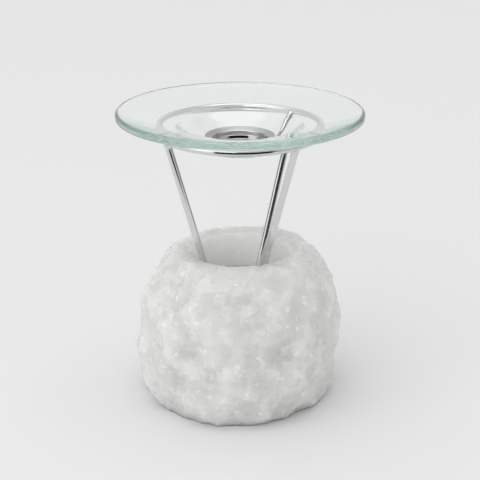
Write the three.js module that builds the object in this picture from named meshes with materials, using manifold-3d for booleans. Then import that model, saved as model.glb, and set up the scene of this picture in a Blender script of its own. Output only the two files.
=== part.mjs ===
// An essential oil burner. A rough white stone holds a tealight in a stepped hollow. A chrome wire
// stand lifts out of the hollow, a clear glass dish lies on the stand's ring, and a small metal oil
// cup stands in the middle of the dish.
// Millimetres, +Z up. The origin is on the table under the middle of the stone, and -Y faces the viewer.

import * as THREE from 'three';
import { mergeVertices } from 'three/addons/utils/BufferGeometryUtils.js';
import Module from 'manifold-3d';

const wasm = await Module();
wasm.setup();

// Clearance between pieces that rest on each other or meet
const restGap = 0.3;

// Tealight: a thin aluminium cup, its wax, and a wick on a metal tab
const candleRadius = 19;
const candleHeight = 15;
const candleFoil = 0.4;
const candleLip = 0.5;
const candleCornerRounding = 1;
const waxBelowRim = 2.9;
const wickRadius = 0.7;
const wickAboveWax = 4.2;
const tabRadius = 5.5;
const tabSheet = 0.4;
const tabCollarSheet = 0.5;
const tabCollarHeight = 3.5;

// Stone: its belly, foot and top, and the hollow in its top
const stoneHeight = 88;
const stoneBellyRadius = 60.5;
const stoneBellyHeight = 42;
const stoneFootRadius = 53.5;
const stoneTopWall = 13;
const stoneTopEdgeDrop = 1.6;
const stoneTopEdgeInset = 3.2;
const hollowRadius = 28.3;
const hollowDepth = 23;
const hollowEdgeBevel = 1.2;
const hollowEdgeFlare = 2.4;
const candleSideClearance = 0.8;
const candleHeadroom = 2;

// Stone surface: flats left by the chisel, and the height of small waves that roughen it
const chiselFlats = 84;
const chiselDepth = 1;
const chiselDepthSpread = 2.2;
const waveHeight = 0.22;

// Broken facets between the flats: their size and depth, how much they lean, and how hollow they are
const facetSize = 17;
const facetDepth = 3;
const facetLean = 0.2;
const facetHollow = 0.28;

// Stand: a wire ring on three straight wire legs, which end on a flat ring-shaped base plate
const wireRadius = 2;
const ringRadius = 46;
const ringHeight = 92.9;
const plateSheet = 1.5;
const plateSideClearance = 0.8;
const flameHoleRadius = 12;

// Each leg's azimuth in degrees, and how far its wire stands back from the edge of the flame hole
const legs = [
  { name: 'stand_leg_left', azimuth: 209, setBack: 4.76 },
  { name: 'stand_leg_front_right', azimuth: -48.6, setBack: 1.2 },
  { name: 'stand_leg_back_right', azimuth: 47.5, setBack: 0.8 },
];

// Glass dish: a rising flange round a shallow bowl with a flat floor, which hangs inside the ring.
// The bowl is wider outside than inside by its two spreads, at its floor and at its mouth.
const dishRadius = 70;
const flangeSlope = 13.1;
const flangeGlass = 4.5;
const bowlDepth = 10.9;
const bowlFloorGlass = 2.7;
const bowlFloorSpread = 3.1;
const bowlMouthSpread = 4.5;
const bowlRingClearance = 7;
const dishRimRounding = 1.7;
const bowlUnderRounding = 5;
const bowlFloorRounding = 2;
const mouthUnderRounding = 6;
const mouthInnerRounding = 14;

// Oil cup: a round well with a sloped flange, standing on the bowl's floor
const cupWellRadius = 16;
const cupHeight = 5.3;
const cupSheet = 0.6;
const cupFlangeWidth = 3.9;
const cupFlangeRise = 2.1;
const cupCornerRounding = 0.9;
const cupSeatMargin = 1.7;

// Fineness of the meshes
const turnSegments = 72;
const smallTurnSegments = 36;
const cupTurnSegments = 54;
const wireSides = 12;
const arcSteps = 4;
const stoneColumns = 84;
const stoneRows = 26;
const weldTolerance = 1e-4;

const radians = THREE.MathUtils.degToRad;

// Heights that follow from the sizes above
const shoulderZ = stoneHeight - hollowDepth;
const wellRadius = candleRadius + candleLip + candleSideClearance;
const wellDepth = restGap + candleHeight + candleHeadroom;
const wellFloorZ = shoulderZ - wellDepth;
const standZ = shoulderZ + restGap;
const ringZ = standZ + ringHeight;

// Materials

function material(color, roughnessValue, metalness) {
  return new THREE.MeshStandardMaterial({ color, roughness: roughnessValue, metalness });
}

const stoneMaterial = material(0xe2e1dc, 0.7, 0);
const chromeMaterial = material(0xd4d6da, 0.12, 1);
const cupMaterial = material(0xb9bcbd, 0.32, 1);
const foilMaterial = material(0xc6c8cb, 0.35, 1);
const waxMaterial = material(0xf3efe6, 0.55, 0);
const wickMaterial = material(0xe9e4d6, 0.9, 0);
const glassMaterial = material(0xdfeeea, 0.05, 0);
glassMaterial.transparent = true;
glassMaterial.opacity = 0.35;

// Meshes and solids

// Merges shared vertices, and leaves out triangles that fold flat on the axis
function weld(geometry) {
  geometry.deleteAttribute('normal');
  geometry.deleteAttribute('uv');
  const merged = mergeVertices(geometry, weldTolerance);
  const index = merged.getIndex().array;
  const kept = [];
  for (let i = 0; i < index.length; i += 3) {
    const [a, b, c] = [index[i], index[i + 1], index[i + 2]];
    if (a !== b && b !== c && c !== a) kept.push(a, b, c);
  }
  merged.setIndex(kept);
  merged.computeVertexNormals();
  return merged;
}

function toSolid(geometry) {
  const welded = weld(geometry);
  const vertProperties = new Float32Array(welded.getAttribute('position').array);
  const triVerts = new Uint32Array(welded.getIndex().array);
  return new wasm.Manifold(new wasm.Mesh({ numProp: 3, vertProperties, triVerts }));
}

function toGeometry(manifold) {
  const mesh = manifold.getMesh();
  const geometry = new THREE.BufferGeometry();
  geometry.setAttribute('position', new THREE.BufferAttribute(mesh.vertProperties, 3));
  geometry.setIndex(new THREE.BufferAttribute(mesh.triVerts, 1));
  geometry.computeVertexNormals();
  return geometry;
}

// An outline of [radius, height, rounding] corners as points, with an arc at each rounded corner
function roundedOutline(corners) {
  const points = [];
  corners.forEach(([x, y, rounding = 0], i) => {
    const corner = new THREE.Vector2(x, y);
    if (!rounding) {
      points.push(corner);
      return;
    }
    const before = new THREE.Vector2(...corners[i - 1]).sub(corner).normalize();
    const after = new THREE.Vector2(...corners[i + 1]).sub(corner).normalize();
    const halfAngle = Math.acos(THREE.MathUtils.clamp(before.dot(after), -1, 1)) / 2;
    const middle = before.clone().add(after).normalize();
    const centre = corner.clone().addScaledVector(middle, rounding / Math.sin(halfAngle));
    const from = corner.clone().addScaledVector(before, rounding / Math.tan(halfAngle)).sub(centre);
    const to = corner.clone().addScaledVector(after, rounding / Math.tan(halfAngle)).sub(centre);
    const sweep = Math.atan2(from.cross(to), from.dot(to));
    for (let step = 0; step <= arcSteps; step += 1) {
      const spoke = from.clone().rotateAround(new THREE.Vector2(), (sweep * step) / arcSteps);
      points.push(spoke.add(centre));
    }
  });
  return points;
}

// A body of revolution about Z, from an outline that runs anticlockwise from axis to axis
function turned(corners, segments) {
  const geometry = new THREE.LatheGeometry(roundedOutline(corners), segments);
  geometry.rotateX(Math.PI / 2);
  return weld(geometry);
}

function piece(name, geometry, pieceMaterial, z = 0) {
  const mesh = new THREE.Mesh(geometry, pieceMaterial);
  mesh.name = name;
  mesh.position.z = z;
  return mesh;
}

// Stone

// A fixed scatter of numbers between 0 and 1
const scatterStep = 12.9898;
const scatterSpan = 43758.5453;

function scatter(n) {
  const value = Math.sin(n * scatterStep) * scatterSpan;
  return value - Math.floor(value);
}

// Low swells and dents of the stone: azimuth in degrees, height, reach, and how far it stands out
const stoneSwells = [
  { azimuth: 180, height: 61, reach: 14, swell: -1.4 },
  { azimuth: 178, height: 32, reach: 14, swell: 1.0 },
  { azimuth: 165, height: 80, reach: 15, swell: -2.6 },
  { azimuth: 125, height: 84, reach: 14, swell: -2.4 },
  { azimuth: 45, height: 84, reach: 17, swell: 3.6 },
  { azimuth: 8, height: 70, reach: 10, swell: 1.8 },
  { azimuth: -8, height: 82, reach: 12, swell: -4.0 },
  { azimuth: 2, height: 50, reach: 15, swell: -2.0 },
  { azimuth: -14, height: 18, reach: 17, swell: -5.2 },
  { azimuth: -40, height: 8, reach: 16, swell: -2.6 },
  { azimuth: -92, height: 6, reach: 20, swell: 4.0 },
  { azimuth: -132, height: 6, reach: 16, swell: 1.4 },
  { azimuth: -40, height: 62, reach: 18, swell: 1.6 },
  { azimuth: 60, height: 50, reach: 24, swell: 1.4 },
  { azimuth: 120, height: 26, reach: 24, swell: 1.6 },
];

// Small waves over the stone: whole waves in a turn, and the rise that holds one wave
const stoneWaves = [
  { around: 7, pitch: 38 },
  { around: -11, pitch: 27 },
  { around: 17, pitch: 19 },
  { around: -23, pitch: 15 },
];

// How sharply the stone's side turns in to its foot and to its top
const footTurn = 5;
const topTurn = 2;

// Radius of the smooth stone at a height
function stoneRadiusAt(z) {
  const topRadius = hollowRadius + stoneTopWall;
  if (z < stoneBellyHeight) {
    const down = (stoneBellyHeight - z) / stoneBellyHeight;
    return stoneBellyRadius - (stoneBellyRadius - stoneFootRadius) * down ** footTurn;
  }
  const up = (z - stoneBellyHeight) / (stoneHeight - stoneBellyHeight);
  return topRadius + (stoneBellyRadius - topRadius) * (1 - up ** topTurn);
}

// A point of the stone before chiselling: row 0 is the foot, the last row is the flat top's edge
function stonePoint(row, column) {
  const azimuth = (2 * Math.PI * column) / stoneColumns;
  const last = stoneRows - 1;
  const z = (stoneHeight - stoneTopEdgeDrop) * Math.min(row / (last - 1), 1);
  let radius = stoneRadiusAt(z);
  for (const { azimuth: at, height, reach, swell } of stoneSwells) {
    const turn = azimuth - radians(at);
    const across = Math.atan2(Math.sin(turn), Math.cos(turn)) * radius;
    radius += swell * Math.exp(-((Math.hypot(across, z - height) / reach) ** 2));
  }
  for (const { around, pitch } of stoneWaves) {
    radius += waveHeight * Math.sin(around * azimuth + (2 * Math.PI * z) / pitch);
  }
  const edge = row < last ? radius : radius - stoneTopEdgeInset;
  return new THREE.Vector3(edge * Math.cos(azimuth), edge * Math.sin(azimuth), row < last ? z : stoneHeight);
}

// Planes spread evenly round the stone push back what stands out of them, as chisel flats.
// Those that face nearly up or down are left out.
const leastFlatLevel = 0.3;

function chisel(points) {
  const centre = new THREE.Vector3(0, 0, stoneHeight / 2);
  const goldenAngle = Math.PI * (3 - Math.sqrt(5));
  for (let flat = 0; flat < chiselFlats; flat += 1) {
    const rise = (2 * (flat + 0.5)) / chiselFlats - 1;
    const level = Math.sqrt(1 - rise ** 2);
    if (level < leastFlatLevel) continue;
    const turn = flat * goldenAngle;
    const normal = new THREE.Vector3(level * Math.cos(turn), level * Math.sin(turn), rise);
    const reach = Math.max(...points.map((point) => point.clone().sub(centre).dot(normal)));
    const flatReach = reach - level * (chiselDepth + chiselDepthSpread * scatter(flat + 1));
    for (const point of points) {
      const radial = new THREE.Vector3(point.x, point.y, 0).normalize();
      const excess = point.clone().sub(centre).dot(normal) - flatReach;
      if (excess > 0) point.addScaledVector(radial, -excess / radial.dot(normal));
    }
  }
}

// Height of the broken facets at a point. Each facet is a shallow scoop round a scattered centre,
// and the lowest scoop shows.
const cellStride = new THREE.Vector3(127, 311, 74);
const oneEachWay = [-1, 0, 1];
const nearbyCells = oneEachWay.flatMap((x) => (
  oneEachWay.flatMap((y) => oneEachWay.map((z) => new THREE.Vector3(x, y, z)))
));
const facetNumbers = [1, 2, 3, 4, 5, 6, 7];

function facetHeight(point) {
  const home = point.clone().divideScalar(facetSize).floor();
  let lowest = Infinity;
  for (const nearby of nearbyCells) {
    const cell = nearby.clone().add(home);
    const seed = cell.dot(cellStride);
    const [x, y, z, leanX, leanY, leanZ, depth] = facetNumbers.map((n) => scatter(seed + n));
    const away = new THREE.Vector3(x, y, z).add(cell).multiplyScalar(-facetSize).add(point);
    const lean = new THREE.Vector3(leanX, leanY, leanZ).multiplyScalar(2).subScalar(1);
    const hollow = (facetHollow * away.lengthSq()) / facetSize;
    lowest = Math.min(lowest, facetDepth * depth + facetLean * lean.dot(away) + hollow);
  }
  return lowest;
}

// Sets the broken facets in and out of the stone's side, evenly about where it was
function breakFacets(points) {
  const heights = points.map(facetHeight);
  const middle = heights.reduce((sum, height) => sum + height) / heights.length;
  points.forEach((point, i) => {
    const radial = new THREE.Vector3(point.x, point.y, 0).normalize();
    point.addScaledVector(radial, heights[i] - middle);
  });
}

function stoneBlank() {
  const points = [];
  for (let row = 0; row < stoneRows; row += 1) {
    for (let column = 0; column < stoneColumns; column += 1) points.push(stonePoint(row, column));
  }
  chisel(points);
  breakFacets(points);
  const footCentre = points.length;
  const topCentre = footCentre + 1;
  points.push(new THREE.Vector3(0, 0, 0), new THREE.Vector3(0, 0, stoneHeight));
  const index = [];
  for (let column = 0; column < stoneColumns; column += 1) {
    const next = (column + 1) % stoneColumns;
    for (let row = 0; row < stoneRows - 1; row += 1) {
      const [low, high] = [row * stoneColumns, (row + 1) * stoneColumns];
      index.push(low + column, low + next, high + next, low + column, high + next, high + column);
    }
    const top = (stoneRows - 1) * stoneColumns;
    index.push(footCentre, next, column, topCentre, top + column, top + next);
  }
  const geometry = new THREE.BufferGeometry().setFromPoints(points);
  geometry.setIndex(index);
  return toSolid(geometry);
}

// The hollow: a wide bore down to the shoulder, and a narrower well below it for the tealight
function hollowCutter() {
  const above = stoneHeight + hollowEdgeBevel;
  return toSolid(turned([
    [0, wellFloorZ],
    [wellRadius, wellFloorZ],
    [wellRadius, shoulderZ],
    [hollowRadius, shoulderZ],
    [hollowRadius, stoneHeight - hollowEdgeBevel],
    [hollowRadius + hollowEdgeFlare, above],
    [0, above],
  ], turnSegments));
}

function stone() {
  return piece('rock_base', toGeometry(stoneBlank().subtract(hollowCutter())), stoneMaterial);
}

// Tealight: heights here are above the underside of its cup

const candleFloor = candleFoil + restGap;
const waxHeight = candleHeight - waxBelowRim - candleFloor;

function tealightCup() {
  const outline = [
    [0, 0],
    [candleRadius, 0, candleCornerRounding],
    [candleRadius, candleHeight - candleFoil],
    [candleRadius + candleLip, candleHeight - candleFoil],
    [candleRadius + candleLip, candleHeight],
    [candleRadius - candleFoil, candleHeight],
    [candleRadius - candleFoil, candleFoil, candleCornerRounding - candleFoil],
    [0, candleFoil],
  ];
  return piece('tealight_cup', turned(outline, smallTurnSegments), foilMaterial);
}

// The wick's foot stands in the tab's collar
function tealightTab() {
  const collarInner = wickRadius + restGap;
  const collarOuter = collarInner + tabCollarSheet;
  const outline = [
    [0, 0],
    [tabRadius, 0],
    [tabRadius, tabSheet],
    [collarOuter, tabSheet],
    [collarOuter, tabCollarHeight],
    [collarInner, tabCollarHeight],
    [collarInner, tabSheet],
    [0, tabSheet],
  ];
  return piece('tealight_wick_tab', turned(outline, smallTurnSegments / 2), foilMaterial, candleFloor);
}

// The wax fills the cup round the wick and the tab
function tealightWax() {
  const outer = candleRadius - candleFoil - restGap;
  const wickHole = wickRadius + restGap;
  const collarHole = wickHole + tabCollarSheet + restGap;
  const tabHole = tabRadius + restGap;
  const outline = [
    [tabHole, 0],
    [outer, 0, candleCornerRounding],
    [outer, waxHeight],
    [wickHole, waxHeight],
    [wickHole, tabCollarHeight + restGap],
    [collarHole, tabCollarHeight + restGap],
    [collarHole, tabSheet + restGap],
    [tabHole, tabSheet + restGap],
    [tabHole, 0],
  ];
  return piece('tealight_wax', turned(outline, smallTurnSegments), waxMaterial, candleFloor);
}

function tealightWick() {
  const foot = candleFloor + tabSheet + restGap;
  const tip = candleFloor + waxHeight + wickAboveWax;
  const outline = [
    [0, 0],
    [wickRadius, 0],
    [wickRadius, tip - foot, wickRadius / 2],
    [0, tip - foot],
  ];
  return piece('tealight_wick', turned(outline, smallTurnSegments / 4), wickMaterial, foot);
}

function tealight() {
  const group = new THREE.Group();
  group.position.z = wellFloorZ + restGap;
  group.add(tealightCup(), tealightTab(), tealightWax(), tealightWick());
  return group;
}

// Stand

function ringTorus(sectionRadius) {
  return new THREE.TorusGeometry(ringRadius, sectionRadius, wireSides, turnSegments);
}

function standRing() {
  return piece('stand_top_ring', weld(ringTorus(wireRadius)), chromeMaterial, ringHeight);
}

// A straight wire from under the ring down to the base plate, cut to fit both
function standLeg({ name, azimuth, setBack }) {
  const footRadius = flameHoleRadius + wireRadius + setBack;
  const top = new THREE.Vector3(ringRadius, 0, ringHeight);
  const foot = new THREE.Vector3(footRadius, 0, plateSheet);
  const direction = top.clone().sub(foot).normalize();
  const start = foot.clone().addScaledVector(direction, -2 * wireRadius);
  const length = top.distanceTo(start);
  const wire = new THREE.CylinderGeometry(wireRadius, wireRadius, length, wireSides);
  wire.rotateX(Math.PI / 2);
  wire.rotateY(Math.atan2(direction.x, direction.z));
  wire.translate(...start.clone().add(top).multiplyScalar(0.5));
  const ring = ringTorus(wireRadius + restGap);
  ring.translate(0, 0, ringHeight);
  const below = new THREE.BoxGeometry(2 * ringRadius, 2 * ringRadius, 2 * ringRadius);
  below.translate(footRadius, 0, plateSheet + restGap - ringRadius);
  const cut = toSolid(wire).subtract(toSolid(ring)).subtract(toSolid(below));
  const leg = piece(name, toGeometry(cut), chromeMaterial);
  leg.rotation.z = radians(azimuth);
  return leg;
}

function standPlate() {
  const outer = hollowRadius - plateSideClearance;
  const outline = [
    [flameHoleRadius, 0],
    [outer, 0],
    [outer, plateSheet],
    [flameHoleRadius, plateSheet],
    [flameHoleRadius, 0],
  ];
  return piece('stand_base_plate', turned(outline, turnSegments), chromeMaterial);
}

function stand() {
  const group = new THREE.Group();
  group.position.z = standZ;
  group.add(standRing(), standPlate(), ...legs.map(standLeg));
  return group;
}

// Glass dish and oil cup

const flangeTan = Math.tan(radians(flangeSlope));
const flangeRise = flangeGlass / Math.cos(radians(flangeSlope));

// The flange's underside rests on the ring, and the bowl's corner is clear of the ring's inner side
const flangeSeatZ = ringZ + (wireRadius + restGap) / Math.cos(radians(flangeSlope));
const mouthRadius = ringRadius - wireRadius - bowlRingClearance;
const mouthZ = flangeSeatZ - (ringRadius - mouthRadius) * flangeTan;
const floorUnderZ = mouthZ - bowlDepth;
const floorTopZ = floorUnderZ + bowlFloorGlass;

// The bowl's floor is as wide as the flat foot of the cup that stands on it
const cupWallRadius = cupWellRadius + cupSheet;
const floorTopRadius = cupWallRadius - cupCornerRounding + cupSeatMargin;

function glassDish() {
  const flangeUnderZ = (radius) => mouthZ + (radius - mouthRadius) * flangeTan;
  const floorUnderRadius = floorTopRadius + bowlFloorSpread;
  const mouthTopRadius = mouthRadius - bowlMouthSpread;
  const outline = [
    [0, floorUnderZ],
    [floorUnderRadius, floorUnderZ, bowlUnderRounding],
    [mouthRadius, mouthZ, mouthUnderRounding],
    [dishRadius, flangeUnderZ(dishRadius), dishRimRounding],
    [dishRadius, flangeUnderZ(dishRadius) + flangeRise, dishRimRounding],
    [mouthTopRadius, flangeUnderZ(mouthTopRadius) + flangeRise, mouthInnerRounding],
    [floorTopRadius, floorTopZ, bowlFloorRounding],
    [0, floorTopZ],
  ];
  return piece('glass_dish', turned(outline, turnSegments), glassMaterial);
}

function oilCup() {
  const lipZ = cupHeight - cupFlangeRise;
  const cupFlangeRadius = cupWellRadius + cupFlangeWidth;
  const outline = [
    [0, 0],
    [cupWallRadius, 0, cupCornerRounding],
    [cupWallRadius, lipZ - cupSheet],
    [cupFlangeRadius, cupHeight - cupSheet],
    [cupFlangeRadius, cupHeight, cupSheet / 3],
    [cupWellRadius, lipZ, cupSheet],
    [cupWellRadius, cupSheet, cupCornerRounding - cupSheet],
    [0, cupSheet],
  ];
  return piece('oil_cup', turned(outline, cupTurnSegments), cupMaterial, floorTopZ + restGap);
}

const oilBurner = new THREE.Group();
oilBurner.add(stone(), tealight(), stand(), glassDish(), oilCup());

export default oilBurner;
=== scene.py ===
import itertools
import math

import bmesh
import bpy
import numpy as np
from mathutils import Matrix, Vector


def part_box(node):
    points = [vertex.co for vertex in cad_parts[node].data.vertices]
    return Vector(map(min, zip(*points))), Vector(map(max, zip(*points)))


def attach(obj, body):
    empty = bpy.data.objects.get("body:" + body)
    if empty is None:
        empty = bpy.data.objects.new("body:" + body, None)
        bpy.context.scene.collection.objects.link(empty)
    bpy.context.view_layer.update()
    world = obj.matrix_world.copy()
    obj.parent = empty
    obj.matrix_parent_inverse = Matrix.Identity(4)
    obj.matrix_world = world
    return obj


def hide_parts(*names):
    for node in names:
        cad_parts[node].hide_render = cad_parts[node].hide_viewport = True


# An essential oil burner: a rough white stone with a tealight in its hollow, a chrome wire stand,
# a clear glass dish on the stand's ring and a small metal oil cup in the dish. Metres, +Z up.

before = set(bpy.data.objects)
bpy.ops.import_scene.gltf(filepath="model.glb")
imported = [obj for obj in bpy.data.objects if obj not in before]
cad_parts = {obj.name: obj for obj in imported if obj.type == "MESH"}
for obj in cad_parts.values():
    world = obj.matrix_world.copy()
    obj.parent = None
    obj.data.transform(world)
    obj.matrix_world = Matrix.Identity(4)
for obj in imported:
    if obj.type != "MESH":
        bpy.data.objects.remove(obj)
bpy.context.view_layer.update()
MM = 0.001
REST_GAP = 0.3 * MM


# Camera

PHOTO_PIXELS = 480
FOCAL_PIXELS = 1361
SENSOR_MM = 36
CAMERA_PLACE = Vector((0, -0.7422, 0.3584))
CAMERA_TARGET = Vector((0, 0, 0.0927))


def make_camera():
    data = bpy.data.cameras.new("camera")
    data.sensor_width = SENSOR_MM
    data.lens = SENSOR_MM * FOCAL_PIXELS / PHOTO_PIXELS
    camera = bpy.data.objects.new("camera", data)
    camera.location = CAMERA_PLACE
    camera.rotation_euler = (CAMERA_TARGET - CAMERA_PLACE).to_track_quat("-Z", "Y").to_euler()
    bpy.context.scene.collection.objects.link(camera)
    bpy.context.scene.camera = camera


# Node trees

# Noise lies mostly between these
NOISE_RANGE = (0.3, 0.7)
# Octaves of a soft pattern and of a finely broken one
SOFT_DETAIL = 3.0
FINE_DETAIL = 4.0


def put(tree, kind, inputs=None, **settings):
    """Adds a node. Each input is either a socket to link or a value to set."""
    node = tree.nodes.new(kind)
    for name, value in settings.items():
        setattr(node, name, value)
    for name, value in (inputs or {}).items():
        if isinstance(value, bpy.types.NodeSocket):
            tree.links.new(value, node.inputs[name])
        else:
            node.inputs[name].default_value = value
    return node


def calc(tree, operation, *values):
    """A Math node's result."""
    return put(tree, "ShaderNodeMath", dict(enumerate(values)), operation=operation).outputs[0]


def vector_calc(tree, operation, *values):
    """A Vector Math node's outputs."""
    inputs = dict(enumerate(values))
    return put(tree, "ShaderNodeVectorMath", inputs, operation=operation).outputs


def split_axes(tree, vector):
    return put(tree, "ShaderNodeSeparateXYZ", {0: vector}).outputs


def ease(tree, value, start, end, low=0.0, high=1.0):
    """Eases from low to high while the value goes from start to end."""
    inputs = {"Value": value, "From Min": start, "From Max": end, "To Min": low, "To Max": high}
    node = put(tree, "ShaderNodeMapRange", inputs, interpolation_type="SMOOTHSTEP")
    return node.outputs["Result"]


def within(tree, value, low, high, soft):
    """1 where the value lies between low and high, with soft borders, and 0 elsewhere."""
    above = ease(tree, value, low - soft / 2, low + soft / 2)
    below = ease(tree, value, high + soft / 2, high - soft / 2)
    return calc(tree, "MULTIPLY", above, below)


def mix_values(tree, factor, first, second):
    return calc(tree, "MULTIPLY_ADD", factor, calc(tree, "SUBTRACT", second, first), first)


def blend_colors(tree, factor, first, second):
    """A Mix node's colour. Its sockets go by number, because each of its kinds has an A and a B."""
    inputs = {0: factor, 6: first, 7: second}
    return put(tree, "ShaderNodeMix", inputs, data_type="RGBA").outputs[2]


def tinted(tree, color, other, pattern, start, full, share):
    """A colour that takes on a share of another while the pattern goes from start to full."""
    return blend_colors(tree, ease(tree, pattern, start, full, 0.0, share), color, other)


def grey(level):
    return (level, level, level, 1)


def object_place(tree):
    return put(tree, "ShaderNodeTexCoord").outputs["Object"]


def noise(tree, place, scale, detail=2.0, roughness=0.5):
    inputs = {"Vector": place, "Scale": scale, "Detail": detail, "Roughness": roughness}
    return put(tree, "ShaderNodeTexNoise", inputs).outputs["Fac"]


def uneven(tree, pattern, low, high):
    """A value that wanders between low and high with a noise pattern."""
    return ease(tree, pattern, *NOISE_RANGE, low, high)


def cells(tree, place, scale):
    """Scattered cells: three random numbers for each, and the distance from its centre."""
    node = put(tree, "ShaderNodeTexVoronoi", {"Vector": place, "Scale": scale})
    numbers = put(tree, "ShaderNodeSeparateColor", {0: node.outputs["Color"]}).outputs
    return numbers, node.outputs["Distance"]


def attribute(tree, name):
    return put(tree, "ShaderNodeAttribute", attribute_name=name).outputs["Fac"]


def bump(tree, height, distance, strength=1.0, normal=None):
    inputs = {"Height": height, "Distance": distance, "Strength": strength}
    if normal is not None:
        inputs["Normal"] = normal
    return put(tree, "ShaderNodeBump", inputs).outputs["Normal"]


def new_material(name):
    material = bpy.data.materials.new(name)
    material.use_nodes = True
    material.node_tree.nodes.clear()
    return material, material.node_tree


def close_material(tree, shader, volume=None):
    output = tree.nodes.new("ShaderNodeOutputMaterial")
    tree.links.new(shader.outputs[0], output.inputs["Surface"])
    if volume is not None:
        tree.links.new(volume.outputs[0], output.inputs["Volume"])


# Plain metals: colour, least and greatest roughness, patches per metre, depth of the fine bumps
CHROME = ((0.70, 0.705, 0.71, 1), 0.03, 0.07, 90.0, 0.001 * MM)
ALUMINIUM = ((0.86, 0.865, 0.87, 1), 0.28, 0.42, 300.0, 0.02 * MM)
TAB_METAL = ((0.82, 0.83, 0.84, 1), 0.3, 0.45, 500.0, 0.01 * MM)
BUMPS_PER_PATCH = 6


def metal_material(name, color, low_roughness, high_roughness, patches, bump_depth):
    """A metal whose gloss varies softly over its surface."""
    material, tree = new_material(name)
    place = object_place(tree)
    gloss = noise(tree, place, patches, SOFT_DETAIL)
    fine = noise(tree, place, patches * BUMPS_PER_PATCH, SOFT_DETAIL)
    shader = put(tree, "ShaderNodeBsdfPrincipled", {
        "Base Color": color,
        "Metallic": 1.0,
        "Roughness": uneven(tree, gloss, low_roughness, high_roughness),
        "Normal": bump(tree, fine, bump_depth),
    })
    close_material(tree, shader)
    return material


# Meshes

# A point nearer to the axis than this lies on it
ON_AXIS = 1e-7


def new_object(name, mesh, material, body, replaced):
    obj = bpy.data.objects.new(name, mesh)
    bpy.context.scene.collection.objects.link(obj)
    mesh.materials.clear()
    mesh.materials.append(material)
    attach(obj, body)
    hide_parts(replaced)


def mesh_from(name, points, faces):
    mesh = bpy.data.meshes.new(name)
    mesh.from_pydata([tuple(point) for point in points], [], faces)
    mesh.polygons.foreach_set("use_smooth", [True] * len(mesh.polygons))
    mesh.update()
    return mesh


def rounded_outline(corners, steps):
    """An outline of (radius, height, rounding) corners as points, with an arc at each rounding."""
    points = []
    for i, (x, y, *rounding) in enumerate(corners):
        corner = Vector((x, y))
        if not rounding:
            points.append(corner)
            continue
        before = (Vector(corners[i - 1][:2]) - corner).normalized()
        after = (Vector(corners[(i + 1) % len(corners)][:2]) - corner).normalized()
        half_angle = before.angle(after) / 2
        centre = corner + (before + after).normalized() * rounding[0] / math.sin(half_angle)
        tangent = rounding[0] / math.tan(half_angle)
        start = corner + before * tangent - centre
        end = corner + after * tangent - centre
        sweep = math.atan2(start.x * end.y - start.y * end.x, start.dot(end))
        for step in range(steps + 1):
            points.append(centre + Matrix.Rotation(sweep * step / steps, 2) @ start)
    return points


def turned(name, outline, segments, closed=False, z=0.0):
    """A body of revolution about Z. An open outline starts and ends on the axis."""
    points = []
    rings = []
    for radius, height in outline:
        if radius < ON_AXIS:
            rings.append([len(points)] * segments)
            points.append((0, 0, height + z))
            continue
        rings.append(list(range(len(points), len(points) + segments)))
        for step in range(segments):
            turn = math.tau * step / segments
            points.append((radius * math.cos(turn), radius * math.sin(turn), height + z))
    faces = []
    next_rings = rings[1:] + rings[:1] if closed else rings[1:]
    for low, high in zip(rings, next_rings):
        for step in range(segments):
            after = (step + 1) % segments
            corners = (low[step], low[after], high[after], high[step])
            faces.append(tuple(dict.fromkeys(corners)))
    return mesh_from(name, points, faces)


def circle_outline(radius, height, section, sides):
    points = []
    for side in range(sides):
        angle = math.tau * side / sides
        points.append((radius + section * math.cos(angle), height + section * math.sin(angle)))
    return points


def swept(path, radii, sides):
    """Points and faces of a round tube along a path, with a radius at each point and flat ends."""
    points = []
    faces = []
    across = (path[1] - path[0]).orthogonal().normalized()
    for i, place in enumerate(path):
        along = (path[min(i + 1, len(path) - 1)] - path[max(i - 1, 0)]).normalized()
        across = (across - along * across.dot(along)).normalized()
        other = along.cross(across)
        for side in range(sides):
            turn = math.tau * side / sides
            points.append(place + (across * math.cos(turn) + other * math.sin(turn)) * radii[i])
    for i in range(len(path) - 1):
        for side in range(sides):
            after = (side + 1) % sides
            low, high = i * sides, (i + 1) * sides
            faces.append((low + side, low + after, high + after, high + side))
    faces.append(tuple(reversed(range(sides))))
    faces.append(tuple(range(len(points) - sides, len(points))))
    return points, faces


def node_radii(node):
    """Least and greatest distance of a node's points from the Z axis."""
    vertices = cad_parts[node].data.vertices
    distances = [math.hypot(vertex.co.x, vertex.co.y) for vertex in vertices]
    return min(distances), max(distances)


# Stone

STONE_PALE = (0.83, 0.83, 0.825, 1)
STONE_MIDDLE = (0.71, 0.709, 0.695, 1)
STONE_GREY = (0.60, 0.60, 0.575, 1)
# Colour of the rarest grains: white specks of the quartz, and partly painted glints
STONE_SPECK_AND_GLINT = (0.93, 0.93, 0.93, 1)
# Paler colour of the drilled hollow: painted light, standing in for the light that reaches deep into
# it
STONE_BORE_PAINTED_LIGHT = (0.97, 0.97, 0.94, 1)
CRYSTALS_PER_METRE = 150.0
GRAINS_PER_METRE = 520.0
CLOUDS_PER_METRE = 45.0
BENDS_PER_METRE = 260.0
CRYSTAL_BEND = 6 * MM
# Each tone: where it starts and is full on its pattern, which goes from 0 to 1, and its share
GREY_CLOUDS = (0.35, 0.75, 0.75)
PALE_CRYSTALS = (0.80, 0.85, 0.36)
PALE_FACETS = (0.55, 0.95, 0.25)
PALE_CHIPS = (0.88, 0.91, 0.4)
PALE_SPECKS_AND_GLINTS = (0.972, 0.985, 0.5)
# Roughness falls from the first to the second value while the gloss pattern rises between its two
STONE_GLOSS = (0.1, 0.75)
STONE_ROUGHNESS = (0.62, 0.22)
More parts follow.
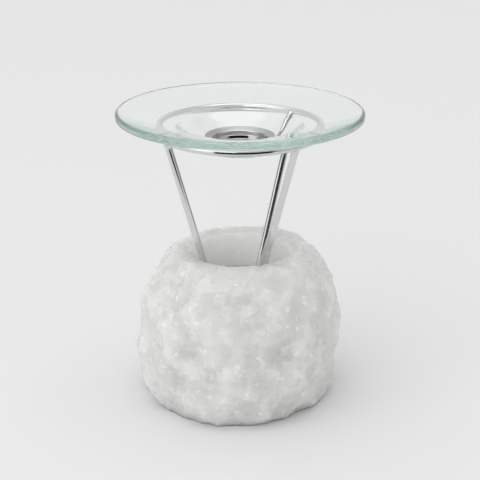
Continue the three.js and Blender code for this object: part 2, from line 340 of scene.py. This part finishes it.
# Noise of the finest bumps: how many per metre, octaves, and how strong the small octaves are
STONE_FINE = (900.0, FINE_DETAIL, 0.6)
STONE_FINE_DEPTH = 0.05 * MM
GRAIN_DEPTH = 0.16 * MM
GRAIN_STRENGTH = 0.6
QUARTZ_IOR = 1.54
QUARTZ_SCATTER = (1.0, 1.0, 0.95)
QUARTZ_LIGHT_DEPTH = 26 * MM


def bent_place(tree, place):
    """The place, shifted to and fro a little, so that the crystals' borders aren't straight."""
    inputs = {"Vector": place, "Scale": BENDS_PER_METRE, "Detail": SOFT_DETAIL}
    wander = put(tree, "ShaderNodeTexNoise", inputs).outputs["Color"]
    shift = vector_calc(tree, "SUBTRACT", wander, (0.5, 0.5, 0.5))[0]
    return vector_calc(tree, "MULTIPLY_ADD", shift, (CRYSTAL_BEND,) * 3, place)[0]


def stone_material():
    """Broken quartz: light goes deep into it, and its crystals and chips differ in tone and gloss. The
    drilled hollow is painted paler as painted light, and the rarest pale grains are white specks that
    are partly painted glints.
    """
    material, tree = new_material("broken_quartz")
    place = object_place(tree)
    bent = bent_place(tree, place)
    crystal, _ = cells(tree, bent, CRYSTALS_PER_METRE)
    grain, from_grain = cells(tree, bent, GRAINS_PER_METRE)
    facet = attribute(tree, "facet_tone")
    chip = attribute(tree, "chip_tone")
    bore_painted_light = attribute(tree, "bore_painted_light")
    cloud = noise(tree, place, CLOUDS_PER_METRE, FINE_DETAIL)

    color = tinted(tree, STONE_MIDDLE, STONE_GREY, cloud, *GREY_CLOUDS)
    color = tinted(tree, color, STONE_PALE, crystal[0], *PALE_CRYSTALS)
    color = tinted(tree, color, STONE_PALE, facet, *PALE_FACETS)
    color = tinted(tree, color, STONE_PALE, chip, *PALE_CHIPS)
    # The rarest grain cells turn pale: white specks, and partly painted glints
    color = tinted(tree, color, STONE_SPECK_AND_GLINT, grain[1], *PALE_SPECKS_AND_GLINTS)
    # Painted light: the drilled hollow is painted paler than the rest of the stone
    color = blend_colors(tree, bore_painted_light, color, STONE_BORE_PAINTED_LIGHT)

    gloss = calc(tree, "MULTIPLY", chip, grain[0])
    normal = bump(tree, noise(tree, place, *STONE_FINE), STONE_FINE_DEPTH)
    normal = bump(tree, from_grain, GRAIN_DEPTH, GRAIN_STRENGTH, normal)
    shader = put(tree, "ShaderNodeBsdfPrincipled", {
        "Base Color": color,
        "Roughness": ease(tree, gloss, *STONE_GLOSS, *STONE_ROUGHNESS),
        "IOR": QUARTZ_IOR,
        "Normal": normal,
        "Subsurface Weight": 1.0,
        "Subsurface Radius": QUARTZ_SCATTER,
        "Subsurface Scale": QUARTZ_LIGHT_DEPTH,
    })
    close_material(tree, shader)
    return material


HOLLOW_RADIUS = 28.3 * MM
STONE_VOXEL = 0.8 * MM
SAME_POINT = 0.001 * MM
STONE_SHARP_ANGLE = math.radians(32)
CELL_TABLE = 24
# Chipped facets: size, greatest lean, spread of depth, how hollow each scoop is, and seed
LARGE_FACETS = (9 * MM, 0.07, 0.5 * MM, 0.08, 11)
CHIP_FACETS = (4.2 * MM, 0.20, 0.5 * MM, 0.18, 23)
GRAIN_FACETS = (1.9 * MM, 0.30, 0.25 * MM, 0.25, 37)
MOUTH_FACETS = (5.5 * MM, 0.25, 1.3 * MM, 0.3, 41)
BORE_ROUGHNESS = 0.24
# How far outside the hollow's wall the outer roughness starts and is full
OUTSIDE_START, OUTSIDE_FULL = 0.3 * MM, 3 * MM
# How far outside the hollow's wall the painted light in the hollow, a paler colour that stands in for
# light reaching deep into it, is full and ends
BORE_LIGHT_FULL, BORE_LIGHT_END = -MM, 2 * MM
MOUTH_EDGE = MM
MOUTH_REACH = 2.6 * MM
MOUTH_WEAR = 0.35 * MM
FLAT_FOOT = 0.4 * MM


def facets(points, size, lean, depth, scoop, seed):
    """How far chipped facets stand out of a surface at each point, and a number for each facet.

    Each facet is a shallow scoop round a scattered centre, and the lowest scoop shows."""
    table = np.random.default_rng(seed).random((CELL_TABLE,) * 3 + (8,))
    base = np.floor(points / size).astype(int)
    height = np.full(len(points), np.inf)
    tone = np.zeros(len(points))
    for step in itertools.product((-1, 0, 1), repeat=3):
        cell = base + step
        numbers = table[tuple((cell % CELL_TABLE).T)]
        away = points - (cell + numbers[:, :3]) * size
        slope = (numbers[:, 3:6] * 2 - 1) * lean
        scoops = scoop * np.sum(away ** 2, axis=1) / size
        value = numbers[:, 6] * depth + np.sum(slope * away, axis=1) + scoops
        lower = value < height
        height = np.where(lower, value, height)
        tone = np.where(lower, numbers[:, 7], tone)
    return height - np.median(height), tone


def smooth_step(value, start, end):
    share = np.clip((value - start) / (end - start), 0, 1)
    return share * share * (3 - 2 * share)


def remeshed(node, voxel):
    """A copy of a node's mesh, rebuilt from small even faces."""
    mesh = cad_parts[node].data.copy()
    work = bmesh.new()
    work.from_mesh(mesh)
    bmesh.ops.remove_doubles(work, verts=work.verts, dist=SAME_POINT)
    work.to_mesh(mesh)
    work.free()
    obj = bpy.data.objects.new("remesh", mesh)
    bpy.context.scene.collection.objects.link(obj)
    modifier = obj.modifiers.new("remesh", "REMESH")
    modifier.mode = "VOXEL"
    modifier.voxel_size = voxel
    solved = obj.evaluated_get(bpy.context.evaluated_depsgraph_get())
    dense = bpy.data.meshes.new_from_object(solved)
    bpy.data.objects.remove(obj)
    return dense


def vertex_vectors(mesh, name):
    """The place or the normal of each vertex, as rows."""
    values = np.empty(len(mesh.vertices) * 3, np.float32)
    mesh.vertices.foreach_get(name, values)
    return values.reshape(-1, 3).astype(float)


def add_vertex_value(mesh, name, values):
    data = mesh.attributes.new(name, "FLOAT", "POINT").data
    data.foreach_set("value", values.astype(np.float32))


def stone_relief(points, radius, top):
    """How far the stone stands out at each point, and the tones of its facets and its chips."""
    large, facet_tone = facets(points, *LARGE_FACETS)
    chips, chip_tone = facets(points, *CHIP_FACETS)
    grains, _ = facets(points, *GRAIN_FACETS)
    mouth, _ = facets(points, *MOUTH_FACETS)
    outside = smooth_step(radius, HOLLOW_RADIUS + OUTSIDE_START, HOLLOW_RADIUS + OUTSIDE_FULL)
    in_bore = -np.abs(chips + grains) * BORE_ROUGHNESS
    from_edge = np.hypot(radius - HOLLOW_RADIUS - MOUTH_EDGE, points[:, 2] - top)
    at_mouth = np.exp(-((from_edge / MOUTH_REACH) ** 2))
    relief = outside * (large + chips + grains) + (1 - outside) * in_bore
    relief -= at_mouth * (np.abs(mouth) + MOUTH_WEAR)
    return relief, facet_tone, chip_tone


def stone():
    """The rock, chipped all over, with a worn mouth and a flat foot."""
    mesh = remeshed("rock_base", STONE_VOXEL)
    mesh.name = "stone_rock"
    points = vertex_vectors(mesh, "co")
    normals = vertex_vectors(mesh, "normal")
    radius = np.hypot(points[:, 0], points[:, 1])
    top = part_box("rock_base")[1].z
    relief, facet_tone, chip_tone = stone_relief(points, radius, top)
    moved = points + normals * relief[:, None]
    foot = points[:, 2] < FLAT_FOOT
    moved[:, 2] = np.where(foot, 0, np.maximum(moved[:, 2], 0))
    mesh.vertices.foreach_set("co", moved.astype(np.float32).ravel())
    mesh.polygons.foreach_set("use_smooth", [True] * len(mesh.polygons))
    mesh.update()
    mesh.set_sharp_from_angle(angle=STONE_SHARP_ANGLE)
    # The paler colour in the drilled hollow is painted light, strongest inside its wall and fading
    # just outside it
    bore_light_end = smooth_step(radius, HOLLOW_RADIUS + BORE_LIGHT_FULL, HOLLOW_RADIUS + BORE_LIGHT_END)
    add_vertex_value(mesh, "facet_tone", facet_tone)
    add_vertex_value(mesh, "chip_tone", chip_tone)
    add_vertex_value(mesh, "bore_painted_light", 1 - bore_light_end)
    new_object("stone_rock", mesh, stone_material(), "stone", "rock_base")


# Stand

RING_SEGMENTS = 256
WIRE_SIDES = 32
WELD_FLARE = 0.2
WELD_REACH = 0.9 * MM
WELD_SHARP_ANGLE = math.radians(50)
# Where a leg's tube has its rings: millimetres above the plate, and short of the ring's wire
ABOVE_PLATE = (0, 0.2, 0.5, 0.9, 1.5, 3)
BELOW_RING = (4, 2.4, 1.5, 0.9, 0.4, 0)
# How thick a leg still is at its end inside the ring's wire
HIDDEN_END = 0.9
# Points this near to a leg's lowest one belong to its foot
FOOT_LEVEL = 0.01 * MM
MICRON_DIGITS = 6
PLATE_EDGE = 0.35 * MM
PLATE_ARC_STEPS = 4
PLATE_SEGMENTS = 128
LEGS = ("stand_leg_left", "stand_leg_front_right", "stand_leg_back_right")


def ring_sizes():
    """The ring's radius, height and wire radius."""
    low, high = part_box("stand_top_ring")
    wire = (high.z - low.z) / 2
    return high.x - wire, (high.z + low.z) / 2, wire


def stand_ring(chrome):
    radius, height, wire = ring_sizes()
    outline = circle_outline(radius, height, wire, WIRE_SIDES)
    mesh = turned("chrome_ring", outline, RING_SEGMENTS, closed=True)
    new_object("chrome_ring", mesh, chrome, "stand", "stand_top_ring")


def leg_line(node):
    """A leg's foot on the plate and its top on the ring's centre line."""
    ring_radius, ring_height, _ = ring_sizes()
    points = [vertex.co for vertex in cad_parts[node].data.vertices]
    lowest = min(point.z for point in points)
    low_points = [point for point in points if point.z < lowest + FOOT_LEVEL]
    ends = {tuple(round(part, MICRON_DIGITS) for part in point) for point in low_points}
    foot = sum((Vector(end) for end in ends), Vector()) / len(ends)
    out = Vector((foot.x, foot.y, 0)).normalized()
    return foot, out * ring_radius + Vector((0, 0, ring_height))


def stand_leg(node, chrome):
    """A straight wire that flares a little into a weld at the ring and at the plate."""
    foot, top = leg_line(node)
    _, _, wire = ring_sizes()
    plate_low, plate_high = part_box("stand_base_plate")
    along = (top - foot).normalized()
    foot = foot - along * (foot.z - (plate_low.z + plate_high.z) / 2) / along.z
    length = (top - foot).length
    sheet = (plate_high.z - plate_low.z) / 2
    near_plate = [sheet + step * MM for step in ABOVE_PLATE]
    near_ring = [length - wire - step * MM for step in BELOW_RING]
    places = [0] + near_plate + near_ring + [length]
    radii = []
    for place in places:
        from_end = min(max(place - sheet, 0), max(length - wire - place, 0))
        radii.append(wire * (1 + WELD_FLARE * math.exp(-from_end / WELD_REACH)))
    radii[-1] = wire * HIDDEN_END
    points, faces = swept([foot + along * place for place in places], radii, WIRE_SIDES)
    mesh = mesh_from(node.replace("stand", "chrome"), points, faces)
    mesh.set_sharp_from_angle(angle=WELD_SHARP_ANGLE)
    new_object(mesh.name, mesh, chrome, "stand", node)


def stand_plate(chrome):
    low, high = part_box("stand_base_plate")
    inner, outer = node_radii("stand_base_plate")
    corners = [
        (inner, low.z, PLATE_EDGE),
        (outer, low.z, PLATE_EDGE),
        (outer, high.z, PLATE_EDGE),
        (inner, high.z, PLATE_EDGE),
    ]
    outline = rounded_outline(corners, PLATE_ARC_STEPS)
    mesh = turned("chrome_base_plate", outline, PLATE_SEGMENTS, closed=True)
    new_object("chrome_base_plate", mesh, chrome, "stand", "stand_base_plate")


def stand():
    chrome = metal_material("chrome_plate", *CHROME)
    stand_ring(chrome)
    stand_plate(chrome)
    for node in LEGS:
        stand_leg(node, chrome)


# Glass dish

GLASS_IOR = 1.5
GLASS_GREEN = (0.375, 0.69, 0.59, 1)
GLASS_DENSITY = 5.8
GLASS_WAVES_PER_METRE = 70.0
GLASS_WAVE_DETAIL = 1.0
GLASS_WAVE_DEPTH = 0.006 * MM


def glass_material():
    """Clear pressed glass that is pale green where it is thick, with a faint waviness."""
    material, tree = new_material("clear_glass")
    place = object_place(tree)
    waves = noise(tree, place, GLASS_WAVES_PER_METRE, GLASS_WAVE_DETAIL)
    shader = put(tree, "ShaderNodeBsdfPrincipled", {
        "Base Color": grey(1.0),
        "Roughness": 0.0,
        "IOR": GLASS_IOR,
        "Transmission Weight": 1.0,
        "Normal": bump(tree, waves, GLASS_WAVE_DEPTH),
    })
    depth = {"Color": GLASS_GREEN, "Density": GLASS_DENSITY}
    close_material(tree, shader, put(tree, "ShaderNodeVolumeAbsorption", depth))
    return material


FLANGE_SLOPE = math.radians(13.1)
FLANGE_GLASS = 4.5 * MM
FLOOR_GLASS = 2.7 * MM
FLOOR_SPREAD = 3.1 * MM
MOUTH_SPREAD = 4.5 * MM
BOWL_RING_CLEARANCE = 7 * MM
RIM_ROUNDING = 1.7 * MM
UNDER_ROUNDING = 5 * MM
FLOOR_ROUNDING = 2 * MM
MOUTH_ROUNDING = 6 * MM
INNER_MOUTH_ROUNDING = 14 * MM
CUP_SEAT_MARGIN = 1.7 * MM
DISH_ARC_STEPS = 12
DISH_SEGMENTS = 256


def glass_dish():
    """A rising flange round a shallow bowl that hangs inside the ring."""
    ring_radius, ring_height, wire = ring_sizes()
    low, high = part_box("glass_dish")
    slope = math.tan(FLANGE_SLOPE)
    rise = FLANGE_GLASS / math.cos(FLANGE_SLOPE)
    seat_z = ring_height + (wire + REST_GAP) / math.cos(FLANGE_SLOPE)
    flange_under = seat_z - ring_radius * slope
    mouth = ring_radius - wire - BOWL_RING_CLEARANCE
    mouth_top = mouth - MOUTH_SPREAD
    _, cup_wall, _ = cup_radii()
    floor_top = cup_wall - CUP_CORNER + CUP_SEAT_MARGIN
    corners = [
        (0, low.z),
        (floor_top + FLOOR_SPREAD, low.z, UNDER_ROUNDING),
        (mouth, flange_under + mouth * slope, MOUTH_ROUNDING),
        (high.x, flange_under + high.x * slope, RIM_ROUNDING),
        (high.x, flange_under + high.x * slope + rise, RIM_ROUNDING),
        (mouth_top, flange_under + mouth_top * slope + rise, INNER_MOUTH_ROUNDING),
        (floor_top, low.z + FLOOR_GLASS, FLOOR_ROUNDING),
        (0, low.z + FLOOR_GLASS),
    ]
    mesh = turned("clear_glass_dish", rounded_outline(corners, DISH_ARC_STEPS), DISH_SEGMENTS)
    new_object("clear_glass_dish", mesh, glass_material(), "dish", "glass_dish")


# Oil cup

CUP_WELL_COLOR = (0.66, 0.665, 0.665, 1)
CUP_FLANGE_COLOR = (0.49, 0.495, 0.495, 1)
CUP_POLISH = (0.04, 0.07)
CUP_SATIN = (0.36, 0.48)
CUP_PATCHES_PER_METRE = 160.0
CUP_LINES_PER_METRE = 5200.0
CUP_LINE_DETAIL = 2.0
CUP_LINE_DEPTH = 0.004 * MM
# How far outside the well the satin flange starts and is full
SATIN_START, SATIN_FULL = 0.1 * MM, 0.5 * MM


def cup_material(well_radius):
    """The oil cup: a satin flange with fine turned lines, and a polished well."""
    material, tree = new_material("oil_cup_metal")
    place = object_place(tree)
    x, y, _ = split_axes(tree, place)
    flat = put(tree, "ShaderNodeCombineXYZ", {"X": x, "Y": y}).outputs[0]
    radius = vector_calc(tree, "LENGTH", flat)["Value"]
    on_flange = ease(tree, radius, well_radius + SATIN_START, well_radius + SATIN_FULL)
    inputs = {"W": radius, "Scale": CUP_LINES_PER_METRE, "Detail": CUP_LINE_DETAIL}
    lines = put(tree, "ShaderNodeTexNoise", inputs, noise_dimensions="1D").outputs["Fac"]
    satin = uneven(tree, lines, *CUP_SATIN)
    patches = noise(tree, place, CUP_PATCHES_PER_METRE, SOFT_DETAIL)
    polish = uneven(tree, patches, *CUP_POLISH)
    shader = put(tree, "ShaderNodeBsdfPrincipled", {
        "Base Color": blend_colors(tree, on_flange, CUP_WELL_COLOR, CUP_FLANGE_COLOR),
        "Metallic": 1.0,
        "Roughness": mix_values(tree, on_flange, polish, satin),
        "Normal": bump(tree, lines, CUP_LINE_DEPTH),
    })
    close_material(tree, shader)
    return material


CUP_SHEET = 0.6 * MM
CUP_FLANGE = 3.9 * MM
CUP_FLANGE_RISE = 2.1 * MM
CUP_CORNER = 0.9 * MM
CUP_RIM_ROUNDING = CUP_SHEET * 0.45
CUP_ARC_STEPS = 8
CUP_SEGMENTS = 160


def cup_radii():
    """Radii of the cup's well, of its wall and of its flange."""
    _, flange = node_radii("oil_cup")
    well = flange - CUP_FLANGE
    return well, well + CUP_SHEET, flange


def oil_cup():
    """A round well with a sloped flange."""
    low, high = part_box("oil_cup")
    height = high.z - low.z
    well, wall, flange = cup_radii()
    lip = height - CUP_FLANGE_RISE
    corners = [
        (0, 0),
        (wall, 0, CUP_CORNER),
        (wall, lip - CUP_SHEET, CUP_SHEET / 2),
        (flange, height - CUP_SHEET, CUP_RIM_ROUNDING),
        (flange, height, CUP_RIM_ROUNDING),
        (well, lip, CUP_SHEET),
        (well, CUP_SHEET, CUP_CORNER - CUP_SHEET),
        (0, CUP_SHEET),
    ]
    outline = rounded_outline(corners, CUP_ARC_STEPS)
    mesh = turned("oil_cup_shell", outline, CUP_SEGMENTS, z=low.z)
    new_object("oil_cup_shell", mesh, cup_material(well), "cup", "oil_cup")


# Tealight

CANDLE_SEGMENTS = 144
FOIL = 0.4 * MM
FOIL_CORNER = MM
FOIL_ARC_STEPS = 5
# The rolled rim: its radius, the degrees where its arc starts and how far it goes
BEAD = 0.42 * MM
BEAD_START = -60
BEAD_SWEEP = 240
BEAD_STEPS = 12


def tealight_cup(foil):
    """Thin pressed aluminium with a rolled rim."""
    low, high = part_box("tealight_cup")
    _, lip = node_radii("tealight_cup")
    wall = lip - 2 * BEAD + FOIL / 2
    bead_z = high.z - BEAD
    bead = []
    for step in range(BEAD_STEPS + 1):
        angle = math.radians(BEAD_START + BEAD_SWEEP * step / BEAD_STEPS)
        bead.append((lip - BEAD + BEAD * math.cos(angle), bead_z + BEAD * math.sin(angle)))
    under = [
        (0, low.z),
        (wall, low.z, FOIL_CORNER),
        (wall, bead_z),
    ]
    inside = [
        (wall - FOIL, bead_z),
        (wall - FOIL, low.z + FOIL, FOIL_CORNER - FOIL),
        (0, low.z + FOIL),
    ]
    outline = rounded_outline(under, FOIL_ARC_STEPS) + bead + rounded_outline(inside, FOIL_ARC_STEPS)
    mesh = turned("candle_cup", outline, CANDLE_SEGMENTS)
    new_object("candle_cup", mesh, foil, "tealight", "tealight_cup")


WAX_PALE = (0.93, 0.91, 0.86, 1)
WAX_DEEP = (0.86, 0.83, 0.76, 1)
WAX_CLOUDS_PER_METRE = 120.0
WAX_PATCHES_PER_METRE = 400.0
WAX_ROUGHNESS = (0.35, 0.55)
WAX_CLOUD_DEPTH = 0.15 * MM
WAX_SCATTER_SHARE = 0.6
WAX_SCATTER = (1.0, 0.9, 0.75)
WAX_LIGHT_DEPTH = 4 * MM


def wax_material():
    """Paraffin wax, a little uneven in tone and gloss."""
    material, tree = new_material("paraffin_wax")
    place = object_place(tree)
    cloud = noise(tree, place, WAX_CLOUDS_PER_METRE, FINE_DETAIL)
    gloss = noise(tree, place, WAX_PATCHES_PER_METRE)
    shader = put(tree, "ShaderNodeBsdfPrincipled", {
        "Base Color": blend_colors(tree, cloud, WAX_PALE, WAX_DEEP),
        "Roughness": uneven(tree, gloss, *WAX_ROUGHNESS),
        "Normal": bump(tree, cloud, WAX_CLOUD_DEPTH),
        "Subsurface Weight": WAX_SCATTER_SHARE,
        "Subsurface Radius": WAX_SCATTER,
        "Subsurface Scale": WAX_LIGHT_DEPTH,
    })
    close_material(tree, shader)
    return material


WAX_CORNER = MM
# How high the wax climbs at the cup's wall and at the wick, and how far from them it starts
WAX_MENISCUS = 0.5 * MM
WALL_MENISCUS = 1.6 * MM
WICK_MENISCUS = 1.8 * MM
MENISCUS_ROUNDING = 2 * MM
WAX_EDGE = 0.1 * MM
WAX_ARC_STEPS = 6


def tealight_wax():
    """Wax that climbs a little at the cup's wall and at the wick."""
    low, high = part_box("tealight_wax")
    inner, outer = node_radii("tealight_wax")
    corners = [
        (inner, low.z),
        (outer, low.z, WAX_CORNER),
        (outer, high.z + WAX_MENISCUS, WAX_EDGE),
        (outer - WALL_MENISCUS, high.z, MENISCUS_ROUNDING),
        (inner + WICK_MENISCUS, high.z, MENISCUS_ROUNDING),
        (inner, high.z + WAX_MENISCUS),
    ]
    outline = rounded_outline(corners, WAX_ARC_STEPS)
    mesh = turned("candle_wax", outline, CANDLE_SEGMENTS, closed=True)
    new_object("candle_wax", mesh, wax_material(), "tealight", "tealight_wax")


COTTON_PALE = (0.90, 0.88, 0.80, 1)
COTTON_DARK = (0.72, 0.69, 0.60, 1)
COTTON_ROUGHNESS = 0.85
COTTON_SHEEN = 0.2
FIBRES_PER_METRE = 3000.0
FIBRE_DEPTH = 0.05 * MM


def wick_material():
    """Cotton with fine fibres."""
    material, tree = new_material("cotton_wick")
    place = object_place(tree)
    fibres = noise(tree, place, FIBRES_PER_METRE, FINE_DETAIL)
    shader = put(tree, "ShaderNodeBsdfPrincipled", {
        "Base Color": blend_colors(tree, fibres, COTTON_PALE, COTTON_DARK),
        "Roughness": COTTON_ROUGHNESS,
        "Sheen Weight": COTTON_SHEEN,
        "Normal": bump(tree, fibres, FIBRE_DEPTH),
    })
    close_material(tree, shader)
    return material


WICK_STRANDS = 3
WICK_PITCH = 3.2 * MM
WICK_STEPS = 60
STRAND_SIDES = 10


def tealight_wick():
    """Twisted cotton strands."""
    low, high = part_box("tealight_wick")
    _, radius = node_radii("tealight_wick")
    half = radius / 2
    points, faces = [], []
    for strand in range(WICK_STRANDS):
        path = []
        for step in range(WICK_STEPS + 1):
            z = low.z + (high.z - low.z) * step / WICK_STEPS
            turn = math.tau * (strand / WICK_STRANDS + (z - low.z) / WICK_PITCH)
            path.append(Vector((half * math.cos(turn), half * math.sin(turn), z)))
        radii = [half] * WICK_STEPS + [half / 2]
        more_points, more_faces = swept(path, radii, STRAND_SIDES)
        faces += [tuple(corner + len(points) for corner in face) for face in more_faces]
        points += more_points
    mesh = mesh_from("candle_wick", points, faces)
    new_object("candle_wick", mesh, wick_material(), "tealight", "tealight_wick")


def tealight():
    foil = metal_material("drawn_aluminium", *ALUMINIUM)
    tealight_cup(foil)
    tealight_wax()
    tealight_wick()
    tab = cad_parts["tealight_wick_tab"]
    tab.data.materials.clear()
    tab.data.materials.append(metal_material("tab_metal", *TAB_METAL))


# Floor and light

FLOOR_SIZE = 6.0
FLOOR_COLOR = (0.785, 0.785, 0.788, 1)
# The table that the metal mirrors: its front and right edges, and how bright the floor past them is
TABLE_FRONT = -0.25
TABLE_RIGHT = 0.55
TABLE_BORDER = 0.03
PAST_FRONT, PAST_RIGHT = 0.01, 0.30
BACKDROP = 0.80
# How bright the studio's walls are all round, by azimuth in degrees: 0 is the viewer, 90 the right
WALLS = (
    (-180, 0.80), (-150, 0.78), (-140, 0.65), (-124, 0.26), (-86, 0.24), (-78, 0.65),
    (-66, 1.35), (-45, 1.40), (-37, 1.05), (-33, 0.012), (43, 0.012), (48, 0.36),
    (60, 0.68), (88, 0.72), (98, 0.30), (142, 0.32), (152, 0.78), (180, 0.80),
)
# The floor has its dark stretch in front of the walls that are darker than this
DARK_WALL = 0.1
# How bright a wall is at least, except in reflections
LEAST_LIT = 0.66
WALL_TOP = math.radians(43)
# The ceiling's brightness at both sides, and how far to the side of straight up it changes
CEILING_LEFT, CEILING_RIGHT = 1.12, 0.62
CEILING_REACH = 0.7
SOFTBOX_LEVEL = 1.95
# The softbox's edges in a plane one metre overhead
SOFTBOX_ACROSS = (-0.42, 0.50)
SOFTBOX_ALONG = (-0.25, 0.38)
# A direction less steep than this counts as this steep, so that nothing is divided by zero
LEAST_UP = 0.05
# How wide the soft borders of the walls, the ceiling and the softbox are
BORDER = math.radians(5)


def azimuth_of(tree, x, y):
    """Azimuth of a direction: 0 toward the viewer, positive to the right."""
    return calc(tree, "ARCTAN2", x, calc(tree, "MULTIPLY", y, -1.0))


def reflected(tree):
    """1 for a ray that metal or glass has mirrored, and 0 for others, also those through glass."""
    path = put(tree, "ShaderNodeLightPath").outputs
    return calc(tree, "SUBTRACT", path["Is Glossy Ray"], path["Is Transmission Ray"])


def floor_material():
    """A pale floor. In reflections it is a table with dark in front and a dim stretch at the right."""
    material, tree = new_material("pale_floor")
    x, y, _ = split_axes(tree, object_place(tree))
    dark = [math.radians(azimuth) for azimuth, level in WALLS if level < DARK_WALL]
    in_front = ease(tree, y, TABLE_FRONT + TABLE_BORDER, TABLE_FRONT - TABLE_BORDER)
    toward_dark = within(tree, azimuth_of(tree, x, y), min(dark), max(dark), BORDER)
    past_front = calc(tree, "MULTIPLY", in_front, toward_dark)
    past_right = ease(tree, x, TABLE_RIGHT - TABLE_BORDER, TABLE_RIGHT + TABLE_BORDER)
    past_table = calc(tree, "MAXIMUM", past_front, past_right)
    mirrored = calc(tree, "MULTIPLY", past_table, reflected(tree))
    past_color = blend_colors(tree, past_front, grey(PAST_RIGHT), grey(PAST_FRONT))
    color = blend_colors(tree, mirrored, FLOOR_COLOR, past_color)
    close_material(tree, put(tree, "ShaderNodeBsdfDiffuse", {"Color": color}))
    return material


def make_floor():
    half = FLOOR_SIZE / 2
    corners = [(-half, -half, 0), (half, -half, 0), (half, half, 0), (-half, half, 0)]
    mesh = mesh_from("floor", corners, [(0, 1, 2, 3)])
    mesh.materials.append(floor_material())
    floor = bpy.data.objects.new("floor", mesh)
    bpy.context.scene.collection.objects.link(floor)


def wall_level(tree, azimuth):
    """Brightness of the studio's walls at an azimuth, from a ramp that goes once all round."""
    share = calc(tree, "MULTIPLY_ADD", azimuth, 1 / math.tau, 0.5)
    node = put(tree, "ShaderNodeValToRGB", {"Fac": share})
    stops = node.color_ramp.elements
    for degrees, _ in WALLS[1:-1]:
        stops.new(degrees / 360 + 0.5)
    for stop, (_, level) in zip(stops, WALLS):
        stop.color = grey(level / SOFTBOX_LEVEL)
    return calc(tree, "MULTIPLY", node.outputs["Color"], SOFTBOX_LEVEL)


def on_softbox(tree, x, y, z):
    """1 in the directions where the softbox is, with soft borders."""
    up = calc(tree, "MAXIMUM", z, LEAST_UP)
    across = within(tree, calc(tree, "DIVIDE", x, up), *SOFTBOX_ACROSS, BORDER / 2)
    along = within(tree, calc(tree, "DIVIDE", y, up), *SOFTBOX_ALONG, BORDER / 2)
    return calc(tree, "MULTIPLY", across, along)


def studio_level(tree):
    """Brightness of the studio in each direction, as the object gets it."""
    direction = put(tree, "ShaderNodeTexCoord").outputs["Generated"]
    x, y, z = split_axes(tree, direction)
    walls = wall_level(tree, azimuth_of(tree, x, y))
    lit = calc(tree, "MAXIMUM", walls, LEAST_LIT)
    walls = mix_values(tree, reflected(tree), lit, walls)
    above = ease(tree, calc(tree, "ARCSINE", z), WALL_TOP - BORDER / 2, WALL_TOP + BORDER / 2)
    ceiling = ease(tree, x, -CEILING_REACH, CEILING_REACH, CEILING_LEFT, CEILING_RIGHT)
    level = mix_values(tree, above, walls, ceiling)
    return mix_values(tree, on_softbox(tree, x, y, z), level, SOFTBOX_LEVEL)


def make_world():
    """A pale studio with a softbox overhead and walls that are bright at the left.

    Its dark walls are dark in reflections only, so they don't darken the stone or tint the glass."""
    world = bpy.data.worlds.new("studio")
    world.use_nodes = True
    bpy.context.scene.world = world
    tree = world.node_tree
    tree.nodes.clear()
    seen = put(tree, "ShaderNodeLightPath").outputs["Is Camera Ray"]
    strength = mix_values(tree, seen, studio_level(tree), BACKDROP)
    background = put(tree, "ShaderNodeBackground", {"Color": grey(1.0), "Strength": strength})
    output = tree.nodes.new("ShaderNodeOutputWorld")
    tree.links.new(background.outputs[0], output.inputs["Surface"])


# Lamps: place, diameter in metres and power in watts
KEY_LEFT = ((-1.5, -0.7, 1.3), 1.4, 1.5)
FILL_FRONT = ((-0.6, -1.5, 1.05), 1.1, 4.0)
LAMP_TARGET = Vector((0, 0, 0.08))


def add_lamp(name, place, size, power):
    """A large soft lamp that metal and glass don't mirror."""
    data = bpy.data.lights.new(name, "AREA")
    data.shape = "DISK"
    data.size = size
    data.energy = power
    lamp = bpy.data.objects.new(name, data)
    lamp.location = place
    lamp.rotation_euler = (LAMP_TARGET - Vector(place)).to_track_quat("-Z", "Y").to_euler()
    lamp.visible_camera = False
    lamp.visible_glossy = False
    bpy.context.scene.collection.objects.link(lamp)


def make_lights():
    make_world()
    add_lamp("key_left", *KEY_LEFT)
    add_lamp("fill_front", *FILL_FRONT)


# Scene

LONG_PATH = 48
GLOSSY_PATH = 24


def allow_long_paths():
    """Light runs a long way inside the dish's rim, from one face to the next."""
    cycles = bpy.context.scene.cycles
    cycles.max_bounces = LONG_PATH
    cycles.transmission_bounces = LONG_PATH
    cycles.glossy_bounces = GLOSSY_PATH


allow_long_paths()
make_camera()
make_floor()
make_lights()
stone()
stand()
glass_dish()
oil_cup()
tealight()
bpy.context.scene.view_settings.view_transform = "Standard"
